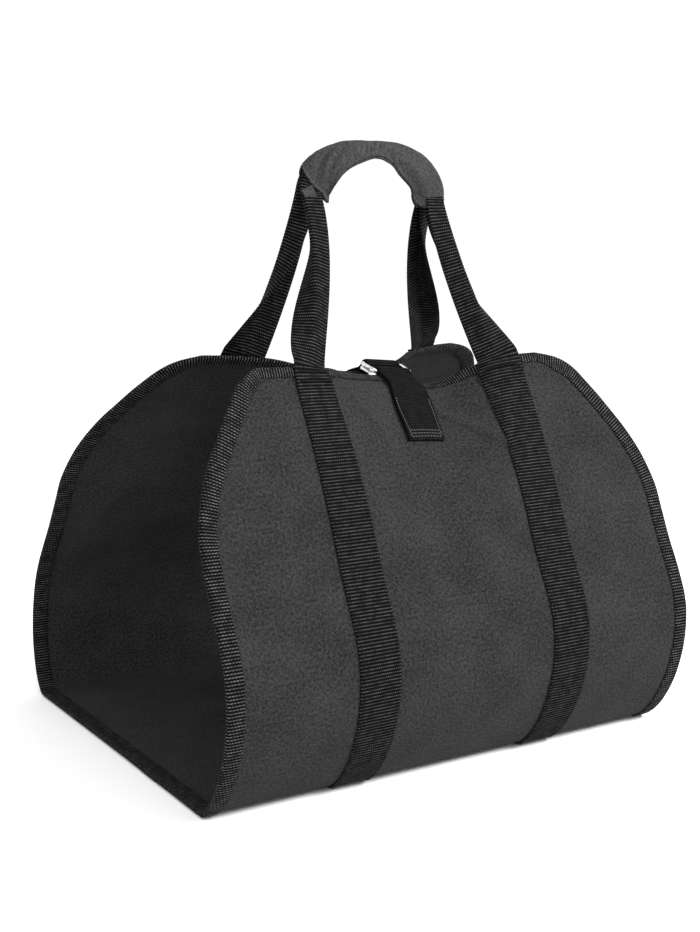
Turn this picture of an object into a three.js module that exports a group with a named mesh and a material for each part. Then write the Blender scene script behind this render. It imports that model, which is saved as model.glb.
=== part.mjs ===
// Canvas log carrier: a bound canvas sheet slung under two webbing straps that run up into one wrapped grip.
// Millimetres. X runs along the logs, the front panel faces -Y, Z is up and the carrier stands on Z = 0.
import * as THREE from 'three';

// The sheet, as it hangs when it is full
const SHEET_WIDTH = 455;
const EDGE_HEIGHT = 339;
const FRONT_BULGE = 197;
const BACK_BULGE = 218;
const CANVAS_THICKNESS = 2;

// The binding folded over the sheet's edge
const BINDING_WIDTH = 12;
const BINDING_THICKNESS = 1.2;
const BINDING_JOINT_EXTRA = 0.8;
const BINDING_JOINT_LENGTH = 22;
const BINDING_JOINT_PLACE = -0.1;

// The carrying webbing
const WEBBING_WIDTH = 38;
const WEBBING_THICKNESS = 1.8;
const WEBBING_SPACING = 193;
const FOLD_BEND_LENGTH = 5;
const FOLD_ANGLE = THREE.MathUtils.degToRad(178);

// The grip wrapped around both handles. Its flap is the empty part of the wrap, beside the webbing
const GRIP_HALF_SPAN = 64;
const GRIP_RISE = 38.5;
const GRIP_BASE_HEIGHT = 479;
const GRIP_OFFSET = -31;
const GRIP_WALL = 1.5;
const GRIP_CLEARANCE = 1.8;
const GRIP_FLAP = 12;
const GRIP_LEFT_CUT = 17;
const GRIP_CUT_REACH = 45;
const GRIP_LEFT_ANGLE = THREE.MathUtils.degToRad(4);
const GRIP_RIGHT_ANGLE = THREE.MathUtils.degToRad(2);

// The closure: a strap from each panel, joined by two rectangular rings
const CLOSURE_WIDTH = 36;
const CLOSURE_THICKNESS = 1.6;
const CLOSURE_CENTRE = 10;
const CLOSURE_LENGTH = 68;
const CLOSURE_TAIL = 20;
const RING_WIRE = 3.6;
const RING_CORNER = 5.5;
const RING_SIDE_CLEARANCE = 1.2;
const EYE_REACH = 7.2;

// Clearances between pieces that touch on the real thing
const GAP = 0.3;
const BINDING_GAP = 0.42;
const RING_GAP = 0.4;
const EDGE_MARGIN = 0.7;

// How the webbing's free stretch turns and folds in half on its way up to the grip, and how its line bends
const LEG_FOLD_POWER = 1.5;
const LEG_LEAN = 1.7;
const LEG_SPLAY = -1.4;
const LEG_PULL_LOW = 0.2;
const LEG_PULL_HIGH = 1.3;
const EYE_ROW_COUNT = 9;
const EYE_TURN = THREE.MathUtils.degToRad(135);

// Worked out from the sizes above
const HALF_WIDTH = SHEET_WIDTH / 2;
const HALF_CANVAS = CANVAS_THICKNESS / 2;
const HALF_WEBBING = WEBBING_WIDTH / 2;
const WEBBING_X = WEBBING_SPACING / 2;
const CENTRE_SHIFT = (FRONT_BULGE - BACK_BULGE) / 2;
const BINDING_STACK = BINDING_THICKNESS + BINDING_JOINT_EXTRA + BINDING_GAP;
const UNDERSIDE_STACK = Math.max(WEBBING_THICKNESS + GAP, BINDING_STACK);
const BASE_HEIGHT = UNDERSIDE_STACK + HALF_CANVAS;
const ON_CANVAS = UNDERSIDE_STACK + HALF_CANVAS - WEBBING_THICKNESS / 2;
const BINDING_OUTER = HALF_CANVAS + BINDING_GAP + BINDING_THICKNESS;
const ON_BINDING = BINDING_OUTER + GAP + WEBBING_THICKNESS / 2;
const CLOSURE_ON_CANVAS = HALF_CANVAS + GAP + CLOSURE_THICKNESS / 2;
const CLOSURE_ON_BINDING = BINDING_OUTER + GAP + CLOSURE_THICKNESS / 2;
const EDGE_STRAIGHT = BINDING_GAP + BINDING_THICKNESS + EDGE_MARGIN;
const EYE_HEIGHT = CLOSURE_ON_BINDING + (CLOSURE_THICKNESS + GAP) / 2;
const EYE_RADIUS = RING_WIRE + RING_GAP / 2 + RING_GAP + CLOSURE_THICKNESS / 2;

// Half of the sheet's section, bottom middle to top edge: shares of the bulge and of the edge height
const FRONT_SECTION = [
  { out: 0, up: 0 },
  { out: 0.38, up: 0 },
  { out: 0.755, up: 0 },
  { out: 0.94, up: 0.13 },
  { out: 1, up: 0.33 },
  { out: 0.846, up: 0.55 },
  { out: 0.681, up: 0.78 },
  { out: 0.495, up: 1 },
];
const BACK_SECTION = [
  { out: 0, up: 0 },
  { out: 0.46, up: 0 },
  { out: 0.92, up: 0 },
  { out: 1, up: 0.13 },
  { out: 0.946, up: 0.33 },
  { out: 0.712, up: 0.55 },
  { out: 0.485, up: 0.78 },
  { out: 0.162, up: 1 },
];

// Half-width of the sheet, as a share of half the sheet width, against the share of the way to the top edge
const WIDTH_ROWS = [
  { along: 0, width: 1 },
  { along: 0.73, width: 1 },
  { along: 0.8, width: 0.968 },
  { along: 0.857, width: 0.911 },
  { along: 0.9, width: 0.846 },
  { along: 0.95, width: 0.777 },
  { along: 0.98, width: 0.728 },
  { along: 1, width: 0.66 },
];

// Where the closure gathers the top edges: shares of half the sheet width and of the edge height
const GATHER_START = 0.72;
const GATHER_POWER = 1.6;
const GATHERS = [
  { panel: -1, at: 0, spread: 0.326, inward: 0.121, down: 0.041 },
  { panel: -1, at: 0.2, spread: 0.14, inward: 0.012, down: 0.042 },
  { panel: 1, at: 0, spread: 0.326, inward: 0.134, down: 0.041 },
];

// Between the webbing, which pulls them up, the top edges curl inward
const CURL_LENGTH = 18;
const CURL_DEPTH = 8;
const CURL_DROP = 3;
const CURL_START_WIDTH = 20;

// Soft folds in the front panel: ends as shares of half the width and of the way up, then height and width
const FOLD_HEIGHT = 5;
const FOLD_WIDTH = 16;
const FOLDS = [
  { fromX: 0.13, fromUp: 0.94, toX: 0.33, toUp: 0.86, height: 0.7, width: 0.8 },
  { fromX: -0.24, fromUp: 0.93, toX: -0.15, toUp: 0.88, height: 0.6, width: 0.8 },
  { fromX: -0.06, fromUp: 0.84, toX: -0.02, toUp: 0.6, height: -1, width: 1.4 },
];

// The wrap along the grip, left to right: its turn about its own length and its flap as a share of the widest
const GRIP_ROWS = [
  { along: 0, turn: 90, flap: 0.8 },
  { along: 0.12, turn: 72, flap: 0.75 },
  { along: 0.26, turn: 38, flap: 0.6 },
  { along: 0.4, turn: 12, flap: 0.35 },
  { along: 0.52, turn: 0, flap: 0.25 },
  { along: 0.64, turn: 12, flap: 0.3 },
  { along: 0.78, turn: 42, flap: 0.9 },
  { along: 0.9, turn: 76, flap: 1 },
  { along: 1, turn: 90, flap: 1 },
];

function material(color, roughness, metalness) {
  return new THREE.MeshStandardMaterial({ color, roughness, metalness });
}

const CANVAS_GREY = material(0x434343, 0.85, 0);
const GRIP_GREY = material(0x4a4a4a, 0.85, 0);
const WEBBING_BLACK = material(0x1c1c1c, 0.75, 0);
const BINDING_BLACK = material(0x202020, 0.8, 0);
const RING_SILVER = material(0xc8c8cc, 0.25, 1);

// A smooth curve through a table's rows, read at any place along its first column
function readTable(rows, from, to, place) {
  const last = rows.length - 1;
  let i = 0;
  while (i < last - 1 && place > rows[i + 1][from]) i += 1;
  const slope = (k) => {
    const a = rows[Math.max(k - 1, 0)];
    const b = rows[Math.min(k + 1, last)];
    return (b[to] - a[to]) / (b[from] - a[from]);
  };
  const step = rows[i + 1][from] - rows[i][from];
  const t = (place - rows[i][from]) / step;
  const h = t * t * (3 - 2 * t);
  const rise = t * (1 - t) * (1 - t) * step * slope(i) - t * t * (1 - t) * step * slope(i + 1);
  return rows[i][to] * (1 - h) + rows[i + 1][to] * h + rise;
}

function sectionCurve(rows, bulge) {
  const rise = EDGE_HEIGHT - BASE_HEIGHT;
  const points = rows.map((row) => new THREE.Vector3(0, row.out * bulge, row.up * rise));
  const curve = new THREE.CatmullRomCurve3(points, false, 'centripetal');
  curve.arcLengthDivisions = 600;
  return curve;
}

const PANELS = {
  [-1]: { curve: sectionCurve(FRONT_SECTION, FRONT_BULGE) },
  [1]: { curve: sectionCurve(BACK_SECTION, BACK_BULGE) },
};
for (const panel of Object.values(PANELS)) panel.length = panel.curve.getLength();

function halfWidthAt(share) {
  return HALF_WIDTH * readTable(WIDTH_ROWS, 'along', 'width', Math.abs(share));
}

function foldAt(u, share) {
  let height = 0;
  for (const fold of FOLDS) {
    const length = PANELS[-1].length;
    const start = new THREE.Vector2(fold.fromX * HALF_WIDTH, fold.fromUp * length);
    const end = new THREE.Vector2(fold.toX * HALF_WIDTH, fold.toUp * length);
    const run = end.clone().sub(start);
    const place = new THREE.Vector2(u, share * length).sub(start);
    const t = THREE.MathUtils.clamp(place.dot(run) / run.lengthSq(), 0, 1);
    const away = place.sub(run.clone().multiplyScalar(t)).length() / (fold.width * FOLD_WIDTH);
    height += fold.height * FOLD_HEIGHT * Math.exp(-away * away) * Math.sin(Math.PI * (0.15 + 0.7 * t));
  }
  return height;
}

// The sheet's middle surface. side is -1 on the front and 1 on the back, share runs from 0 at the bottom to 1
function sheetPoint(u, side, share) {
  const inside = THREE.MathUtils.clamp(share, 0, 1);
  const point = PANELS[side].curve.getPointAt(inside);
  if (share > 1) {
    const ahead = PANELS[side].curve.getTangentAt(1);
    point.addScaledVector(ahead, (share - 1) * PANELS[side].length);
  }
  point.z = Math.max(point.z, 0);
  const rise = Math.max((share - GATHER_START) / (1 - GATHER_START), 0) ** GATHER_POWER;
  for (const gather of GATHERS.filter((row) => row.panel === side)) {
    const away = (u / HALF_WIDTH - gather.at) / gather.spread;
    const pull = Math.exp(-away * away) * rise * EDGE_HEIGHT;
    point.y -= gather.inward * pull;
    point.z -= gather.down * pull;
  }
  const besideWebbing = Math.max(WEBBING_X - HALF_WEBBING - Math.abs(u), 0) / CURL_START_WIDTH;
  const intoCurl = Math.max(1 + ((share - 1) * PANELS[side].length) / CURL_LENGTH, 0);
  const curl = (1 - Math.exp(-besideWebbing * besideWebbing)) * intoCurl ** 2;
  point.y -= CURL_DEPTH * curl;
  point.z -= CURL_DROP * curl;
  if (side < 0) point.y += foldAt(u, share);
  return new THREE.Vector3(u, side * point.y + CENTRE_SHIFT, point.z + BASE_HEIGHT);
}

// The sheet's local frame: x along the width, s up the panel and n outward
function sheetFrame(u, side, share) {
  const step = 0.5;
  const stepShare = step / PANELS[side].length;
  const point = sheetPoint(u, side, share);
  const low = Math.max(share - stepShare, -0.0);
  const s = sheetPoint(u, side, share + stepShare).sub(sheetPoint(u, side, low)).normalize();
  const x = sheetPoint(u + step, side, share).sub(sheetPoint(u - step, side, share)).normalize();
  const n = new THREE.Vector3().crossVectors(x, s).multiplyScalar(-side).normalize();
  return { point, x, s, n };
}

// A point at a height off the sheet. Past the top edge, reach goes straight on in line with the panel
function offSheet(u, side, share, height, reach = 0) {
  const frame = sheetFrame(u, side, share);
  return frame.point.addScaledVector(frame.n, height).addScaledVector(frame.s, reach);
}

// Shares of the way up a panel at which its flat bottom, its bend and its straight upper part end
const STRETCHES = {
  [-1]: { flat: 0.27, bend: 0.55, upper: 0.955 },
  [1]: { flat: 0.31, bend: 0.5, upper: 0.955 },
};
const FLAT_ROWS = 2;
const BEND_ROWS = 10;
const UPPER_ROWS = 8;

// Shares of the way up a panel at which the sheet, its binding and its webbing all have a row
function panelRows(side) {
  const { flat, bend, upper } = STRETCHES[side];
  const rows = [];
  for (let i = 0; i < FLAT_ROWS; i += 1) rows.push((flat * i) / FLAT_ROWS);
  for (let i = 0; i < BEND_ROWS; i += 1) rows.push(flat + ((bend - flat) * i) / BEND_ROWS);
  for (let i = 0; i < UPPER_ROWS; i += 1) rows.push(bend + ((upper - bend) * i) / UPPER_ROWS);
  rows.push(upper, 1 - BINDING_WIDTH / PANELS[side].length, 1);
  return rows;
}

// Places across the sheet at which every row has a point, left to right
function sheetColumns(share) {
  const edge = halfWidthAt(share);
  const middle = [-0.13, -0.22].map((part) => part * HALF_WIDTH);
  const closure = [-0.5, -1 / 6, 1 / 6, 0.5].map((part) => CLOSURE_CENTRE + part * CLOSURE_WIDTH);
  const under = [-HALF_WEBBING, 0, HALF_WEBBING];
  const inBinding = edge - BINDING_WIDTH;
  const beside = (inBinding + WEBBING_X + HALF_WEBBING) / 2;
  const columns = [-edge, -inBinding, -beside];
  for (const part of under) columns.push(-WEBBING_X + part);
  columns.push(middle[1], middle[0], ...closure, -middle[1]);
  for (const part of under) columns.push(WEBBING_X + part);
  columns.push(beside, inBinding, edge);
  return columns;
}

// A quad is always cut along the diagonal that runs more this way, so that layers of cloth are cut alike
const CUT_DIRECTION = new THREE.Vector3(1, 0.3, 0.5);

// Joins a row of equal rings into one closed body. Open sweeps end in caps made of the rings' two halves
function sweep(rings, closed) {
  const count = rings[0].length;
  const points = rings.flat();
  const positions = points.flatMap((point) => [point.x, point.y, point.z]);
  const triangles = [];
  const along = (i, j) => Math.abs(points[j].clone().sub(points[i]).normalize().dot(CUT_DIRECTION));
  const quad = (a, b, c, d) => {
    if (along(a, c) > along(b, d)) triangles.push(a, b, c, a, c, d);
    else triangles.push(a, b, d, b, c, d);
  };
  const last = closed ? rings.length : rings.length - 1;
  for (let r = 0; r < last; r += 1) {
    const next = (r + 1) % rings.length;
    for (let k = 0; k < count; k += 1) {
      const j = (k + 1) % count;
      quad(r * count + k, r * count + j, next * count + j, next * count + k);
    }
  }
  if (!closed) {
    const end = (rings.length - 1) * count;
    for (let k = 0; k < count / 2 - 1; k += 1) {
      quad(k, count - 1 - k, count - 2 - k, k + 1);
      quad(end + k, end + k + 1, end + count - 2 - k, end + count - 1 - k);
    }
  }
  const corner = (i) => new THREE.Vector3().fromArray(positions, 3 * i);
  let volume = 0;
  for (let i = 0; i < triangles.length; i += 3) {
    volume += corner(triangles[i]).dot(corner(triangles[i + 1]).cross(corner(triangles[i + 2])));
  }
  if (volume < 0) triangles.reverse();
  const geometry = new THREE.BufferGeometry();
  geometry.setAttribute('position', new THREE.Float32BufferAttribute(positions, 3));
  geometry.setIndex(triangles);
  geometry.computeVertexNormals();
  return geometry;
}

function piece(name, geometry, look) {
  const mesh = new THREE.Mesh(geometry, look);
  mesh.name = name;
  return mesh;
}

// Canvas panel
function canvasPanel() {
  const ring = (side, share) => {
    const columns = sheetColumns(share);
    const outer = columns.map((u) => offSheet(u, side, share, HALF_CANVAS));
    const inner = columns.map((u) => offSheet(u, side, share, -HALF_CANVAS)).reverse();
    return [...outer, ...inner];
  };
  const front = panelRows(-1).reverse().map((share) => ring(-1, share));
  const back = panelRows(1).slice(1).map((share) => ring(1, share));
  return sweep([...front, ...back], false);
}

// Edge binding: the stations run once around the sheet, each with a section folded over the edge
function bindingStations() {
  const stations = [];
  const add = (u, side, share) => stations.push({ u, side, share, s: side * share * PANELS[side].length });
  for (const share of panelRows(-1).reverse()) add(halfWidthAt(share), -1, share);
  for (const share of panelRows(1).slice(1)) add(halfWidthAt(share), 1, share);
  for (const u of sheetColumns(1).slice(1, -1).reverse()) add(u, 1, 1);
  for (const share of panelRows(1).reverse()) add(-halfWidthAt(share), 1, share);
  for (const share of panelRows(-1).slice(1)) add(-halfWidthAt(share), -1, share);
  for (const u of sheetColumns(1).slice(1, -1)) add(u, -1, 1);
  return stations;
}

function edgeBinding() {
  const stations = bindingStations();
  const jointPlace = BINDING_JOINT_PLACE * PANELS[-1].length;
  const rings = stations.map((here, i) => {
    const before = stations[(i + stations.length - 1) % stations.length];
    const after = stations[(i + 1) % stations.length];
    const back = new THREE.Vector2(here.u - before.u, here.s - before.s).normalize();
    const ahead = new THREE.Vector2(after.u - here.u, after.s - here.s).normalize();
    const along = back.add(ahead).normalize();
    const outward = new THREE.Vector2(along.y, -along.x);
    const joint = here.u < 0 ? Math.exp(-(((here.s - jointPlace) / BINDING_JOINT_LENGTH) ** 2)) : 0;
    const thickness = BINDING_THICKNESS + joint * BINDING_JOINT_EXTRA;
    const frame = sheetFrame(here.u, here.side, here.share);
    const over = frame.x.clone().multiplyScalar(outward.x).addScaledVector(frame.s, here.side * outward.y);
    over.addScaledVector(frame.n, -over.dot(frame.n)).normalize();
    const place = (reach, height) => {
      if (reach > 0) return frame.point.clone().addScaledVector(over, reach).addScaledVector(frame.n, height);
      const u = here.u + reach * outward.x;
      const share = here.share + (reach * outward.y * here.side) / PANELS[here.side].length;
      return offSheet(u, here.side, share, height);
    };
    const inner = HALF_CANVAS + BINDING_GAP;
    const outer = inner + thickness;
    return [
      place(-BINDING_WIDTH, outer),
      place(BINDING_GAP + thickness, outer),
      place(BINDING_GAP + thickness, -outer),
      place(-BINDING_WIDTH, -outer),
      place(-BINDING_WIDTH, -inner),
      place(BINDING_GAP, -inner),
      place(BINDING_GAP, inner),
      place(-BINDING_WIDTH, inner),
    ];
  });
  return sweep(rings, true);
}

// Grip centre line and frame: t along it, a across the wrap away from its flap, b through its thickness
const GRIP_ROW_COUNT = 22;
const GRIP_ROW_CROWDING = 1.25;
const FOLD_RADIUS = FOLD_BEND_LENGTH / FOLD_ANGLE;
const FOLDED_DEPTH = FOLD_RADIUS + (WEBBING_WIDTH - FOLD_BEND_LENGTH) / 2 + WEBBING_THICKNESS / 2;
const FOLD_SPREAD = ((WEBBING_WIDTH - FOLD_BEND_LENGTH) / 2) * Math.cos(FOLD_ANGLE / 2);
const FOLDED_HALF_HEIGHT = FOLD_RADIUS + FOLD_SPREAD + WEBBING_THICKNESS / 2;
const GRIP_LENGTH = (Math.PI * (GRIP_HALF_SPAN + GRIP_RISE)) / 2;
const WEBBING_ACROSS = (FOLDED_DEPTH - WEBBING_THICKNESS) / 2;
const WEBBING_STACK = FOLDED_HALF_HEIGHT + GAP / 2;
const HOLLOW_HALF_WIDTH = FOLDED_DEPTH / 2 + GRIP_CLEARANCE;
const HOLLOW_HALF_HEIGHT = WEBBING_STACK + FOLDED_HALF_HEIGHT + GRIP_CLEARANCE;

function gripFrame(share) {
  const angle = GRIP_LEFT_ANGLE + share * (Math.PI - GRIP_LEFT_ANGLE - GRIP_RIGHT_ANGLE);
  const x = -GRIP_HALF_SPAN * Math.cos(angle);
  const z = GRIP_BASE_HEIGHT + GRIP_RISE * Math.sin(angle);
  const centre = new THREE.Vector3(x, GRIP_OFFSET + CENTRE_SHIFT, z);
  const t = new THREE.Vector3(GRIP_HALF_SPAN * Math.sin(angle), 0, GRIP_RISE * Math.cos(angle)).normalize();
  const outward = new THREE.Vector3(-t.z, 0, t.x);
  const turn = THREE.MathUtils.degToRad(readTable(GRIP_ROWS, 'along', 'turn', share));
  const a = outward.multiplyScalar(Math.sin(turn));
  a.y += Math.cos(turn);
  const b = new THREE.Vector3().crossVectors(a, t);
  return { centre, t, a, b, share };
}

function gripShares() {
  const shares = [];
  for (let i = 0; i <= GRIP_ROW_COUNT; i += 1) {
    const even = (2 * i) / GRIP_ROW_COUNT - 1;
    shares.push(0.5 + 0.5 * Math.sign(even) * Math.abs(even) ** GRIP_ROW_CROWDING);
  }
  return shares;
}

// Handle grip: a flat sleeve around both folded straps, its left end cut slanting
function handleGrip() {
  const loop = (frame, wall) => {
    const halfHeight = HOLLOW_HALF_HEIGHT + wall;
    const outerReach = HOLLOW_HALF_WIDTH + wall;
    const flap = GRIP_FLAP * readTable(GRIP_ROWS, 'along', 'flap', frame.share);
    const middle = -flap / 2;
    const straight = outerReach + flap / 2 - halfHeight;
    const span = 2 * (straight + halfHeight);
    const cutFade = Math.max(1 - (frame.share * GRIP_LENGTH) / GRIP_CUT_REACH, 0);
    const points = [];
    const add = (across, through) => {
      const cut = GRIP_LEFT_CUT * cutFade * (0.5 + across / span);
      const point = frame.centre.clone().addScaledVector(frame.a, middle + across);
      points.push(point.addScaledVector(frame.b, through).addScaledVector(frame.t, cut));
    };
    for (const end of [1, -1]) {
      for (let i = 0; i <= 4; i += 1) {
        const angle = (i / 4 - 0.5) * Math.PI;
        add(end * (straight + halfHeight * Math.cos(angle)), end * halfHeight * Math.sin(angle));
      }
      for (let i = 1; i < 4; i += 1) add(end * straight * (1 - i / 2), end * halfHeight);
    }
    return points;
  };
  const frames = gripShares().map(gripFrame);
  const outer = frames.map((frame) => loop(frame, GRIP_WALL));
  const inner = frames.map((frame) => loop(frame, 0)).reverse();
  return sweep([...outer, ...inner], true);
}

// A strap's place in the grip: folded in half with its fold away from the flap, the two straps stacked
function strapInGrip(frame, side) {
  const centre = frame.centre.clone().addScaledVector(frame.a, WEBBING_ACROSS);
  centre.addScaledVector(frame.b, side * WEBBING_STACK);
  const across = frame.b.clone().multiplyScalar(side);
  return { centre, across, normal: frame.a.clone().multiplyScalar(-side) };
}

// One ring of the webbing. fold is the angle between flat and folded in half, inside is 1 or -1
function webbingRing(centre, across, normal, fold, inside) {
  const half = WEBBING_THICKNESS / 2;
  const bend = FOLD_BEND_LENGTH / 2;
  const place = (a, height) => {
    const turned = THREE.MathUtils.clamp(a, -bend, bend);
    const beyond = a - turned;
    const angle = (turned * fold) / FOLD_BEND_LENGTH;
    const radius = FOLD_BEND_LENGTH / Math.max(fold, 0.001);
    const x = radius * Math.sin(angle) + beyond * Math.cos(angle) + inside * height * Math.sin(angle);
    const drop = radius * (1 - Math.cos(angle)) + beyond * Math.sin(angle);
    const y = height * Math.cos(angle) - inside * drop;
    return centre.clone().addScaledVector(across, x).addScaledVector(normal, y);
  };
  const places = [-HALF_WEBBING, -bend, 0, bend, HALF_WEBBING];
  return [...places.map((a) => place(a, half)), ...places.reverse().map((a) => place(a, -half))];
}

// One ring of webbing lying on a panel, at x = hand * WEBBING_X and at a height off the sheet
function panelRing(side, hand, share, offset, reach = 0) {
  const layer = (height) => {
    const low = offSheet(hand * (WEBBING_X + HALF_WEBBING), side, share, height, reach);
    const middle = offSheet(hand * WEBBING_X, side, share, height, reach);
    const high = offSheet(hand * (WEBBING_X - HALF_WEBBING), side, share, height, reach);
    const part = FOLD_BEND_LENGTH / WEBBING_WIDTH;
    return [low, middle.clone().lerp(low, part), middle, middle.clone().lerp(high, part), high];
  };
  const ahead = layer(offset - (side * WEBBING_THICKNESS) / 2);
  const behind = layer(offset + (side * WEBBING_THICKNESS) / 2);
  return [...ahead, ...behind.reverse()];
}

function turnedFrame(t, turn) {
  const straight = new THREE.Vector3(0, -1, 0).addScaledVector(t, t.y).normalize();
  const sideways = new THREE.Vector3().crossVectors(t, straight);
  const normal = straight.clone().multiplyScalar(Math.cos(turn)).addScaledVector(sideways, Math.sin(turn));
  return { normal, across: new THREE.Vector3().crossVectors(t, normal) };
}

function turnOf(t, normal) {
  const frame = turnedFrame(t, 0);
  return Math.atan2(normal.dot(frame.across), normal.dot(frame.normal));
}

// The webbing's free stretch between a panel and the grip, from the panel up
const LEG_ROW_COUNT = 13;

function legRings(side, hand) {
  const edge = sheetFrame(hand * WEBBING_X, side, 1);
  const start = offSheet(hand * WEBBING_X, side, 1, ON_BINDING, EDGE_STRAIGHT);
  const mouth = gripFrame(hand < 0 ? 0 : 1);
  const held = strapInGrip(mouth, side);
  const chord = held.centre.clone().sub(start);
  const reach = chord.length();
  const low = edge.s.clone().multiplyScalar(LEG_PULL_LOW * reach);
  const high = mouth.t.clone().multiplyScalar(-hand);
  high.x += (LEG_SPLAY * chord.x) / reach;
  high.y += (LEG_LEAN * chord.y) / reach;
  high.normalize().multiplyScalar(LEG_PULL_HIGH * reach);
  const at = (q) => {
    const point = start.clone().multiplyScalar(2 * q ** 3 - 3 * q * q + 1);
    point.addScaledVector(low, q ** 3 - 2 * q * q + q).addScaledVector(held.centre, 3 * q * q - 2 * q ** 3);
    return point.addScaledVector(high, q ** 3 - q * q);
  };
  const panelTurn = turnOf(edge.s.clone().multiplyScalar(-hand), edge.n.clone().multiplyScalar(-side));
  const gripTurn = turnOf(mouth.t, held.normal);
  const rings = [];
  for (let i = 1; i < LEG_ROW_COUNT; i += 1) {
    const q = i / LEG_ROW_COUNT;
    const folded = q ** LEG_FOLD_POWER;
    const t = at(q + 0.01).sub(at(q - 0.01)).normalize().multiplyScalar(-hand);
    const frame = turnedFrame(t, panelTurn + (gripTurn - panelTurn) * folded);
    rings.push(webbingRing(at(q), frame.across, frame.normal, FOLD_ANGLE * folded, -side));
  }
  return rings;
}

// Carrying webbing: up a panel, through the grip and down the same panel
function carryingWebbing(side) {
  const start = GAP / 2 / PANELS[side].length;
  const shares = [start, ...panelRows(side).slice(1)];
  const offset = (i) => (i >= shares.length - 2 ? ON_BINDING : ON_CANVAS);
  const up = (hand) => [
    ...shares.map((share, i) => panelRing(side, hand, share, offset(i))),
    panelRing(side, hand, 1, ON_BINDING, EDGE_STRAIGHT),
    ...legRings(side, hand),
  ];
  const through = gripShares().map((share) => {
    const { centre, across, normal } = strapInGrip(gripFrame(share), side);
    return webbingRing(centre, across, normal, FOLD_ANGLE, -side);
  });
  return sweep([...up(-1), ...through, ...up(1).reverse()], false);
}

const SHORTEST_STEP = 3;

// Closure straps: each lies on its panel, runs over the top edge and turns back round both rings
const ACROSS_CLOSURE = [-0.5, -1 / 6, 1 / 6, 0.5];

function closureFrame(side, axis) {
  const frame = sheetFrame(CLOSURE_CENTRE, side, 1);
  const s = frame.s.clone().addScaledVector(axis, -frame.s.dot(axis)).normalize();
  const n = new THREE.Vector3().crossVectors(axis, s).multiplyScalar(-side);
  const bar = frame.point.clone().addScaledVector(s, EYE_REACH).addScaledVector(n, EYE_HEIGHT);
  return { s, n, bar };
}

function ringAxis() {
  const front = sheetFrame(CLOSURE_CENTRE, -1, 1);
  const back = sheetFrame(CLOSURE_CENTRE, 1, 1);
  return front.x.clone().add(back.x).normalize();
}

function closureStrap(side, upperLength, lowerLength) {
  const length = PANELS[side].length;
  const axis = ringAxis();
  const eye = closureFrame(side, axis);
  const followRing = (reach, level, flip) => {
    const point = (part, height) => {
      const u = CLOSURE_CENTRE + part * CLOSURE_WIDTH;
      return offSheet(u, side, 1 + Math.min(reach, 0) / length, level + height, Math.max(reach, 0));
    };
    const half = (flip * CLOSURE_THICKNESS) / 2;
    return [
      ...ACROSS_CLOSURE.map((part) => point(part, half)),
      ...[...ACROSS_CLOSURE].reverse().map((part) => point(part, -half)),
    ];
  };
  const eyeRing = (angle) => {
    const point = (part, height) => {
      const radius = EYE_RADIUS + height;
      return eye.bar
        .clone()
        .addScaledVector(eye.s, radius * Math.cos(angle))
        .addScaledVector(eye.n, radius * Math.sin(angle))
        .addScaledVector(axis, part * CLOSURE_WIDTH);
    };
    const half = CLOSURE_THICKNESS / 2;
    return [
      ...ACROSS_CLOSURE.map((part) => point(part, half)),
      ...[...ACROSS_CLOSURE].reverse().map((part) => point(part, -half)),
    ];
  };
  const layer = (far, level, flip) => {
    const reaches = panelRows(side).map((share) => (share - 1) * length);
    const rows = [-far, ...reaches.filter((reach) => reach > SHORTEST_STEP - far), EDGE_STRAIGHT];
    return rows.map((reach, i) => {
      const onBinding = i >= rows.length - 3;
      return followRing(reach, level + (onBinding ? CLOSURE_ON_BINDING : CLOSURE_ON_CANVAS), flip);
    });
  };
  const upper = layer(upperLength, CLOSURE_THICKNESS + GAP, 1);
  const lower = layer(lowerLength, 0, -1).reverse();
  const around = [];
  for (let i = 0; i <= EYE_ROW_COUNT; i += 1) around.push(eyeRing(EYE_TURN * (1 - (2 * i) / EYE_ROW_COUNT)));
  return sweep([...upper, ...around, ...lower], false);
}

// Closure rings: two rounded rectangles of wire, one above the other, held in both straps' eyes
function closureRing(level) {
  const axis = ringAxis();
  const front = closureFrame(-1, axis).bar;
  const back = closureFrame(1, axis).bar;
  const across = back.clone().sub(front);
  across.addScaledVector(axis, -across.dot(axis));
  const depth = across.length();
  across.normalize();
  const up = new THREE.Vector3().crossVectors(axis, across);
  const centre = front.clone().add(back).multiplyScalar(0.5).addScaledVector(up, level);
  const halfLong = CLOSURE_WIDTH / 2 + RING_SIDE_CLEARANCE + RING_WIRE / 2;
  const rings = [];
  for (let quarter = 0; quarter < 4; quarter += 1) {
    const signX = quarter === 0 || quarter === 3 ? 1 : -1;
    const signY = quarter < 2 ? 1 : -1;
    for (let i = 0; i <= 3; i += 1) {
      const angle = ((quarter + i / 3) * Math.PI) / 2;
      const outX = Math.cos(angle);
      const outY = Math.sin(angle);
      const x = signX * (halfLong - RING_CORNER) + RING_CORNER * outX;
      const y = signY * (depth / 2 - RING_CORNER) + RING_CORNER * outY;
      const wireCentre = centre.clone().addScaledVector(axis, x).addScaledVector(across, y);
      const outward = axis.clone().multiplyScalar(outX).addScaledVector(across, outY);
      const section = [];
      for (let k = 0; k < 6; k += 1) {
        const turn = (k * Math.PI) / 3;
        const radius = RING_WIRE / 2;
        const point = wireCentre.clone().addScaledVector(outward, radius * Math.cos(turn));
        section.push(point.addScaledVector(up, radius * Math.sin(turn)));
      }
      rings.push(section);
    }
  }
  return sweep(rings, true);
}

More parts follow.
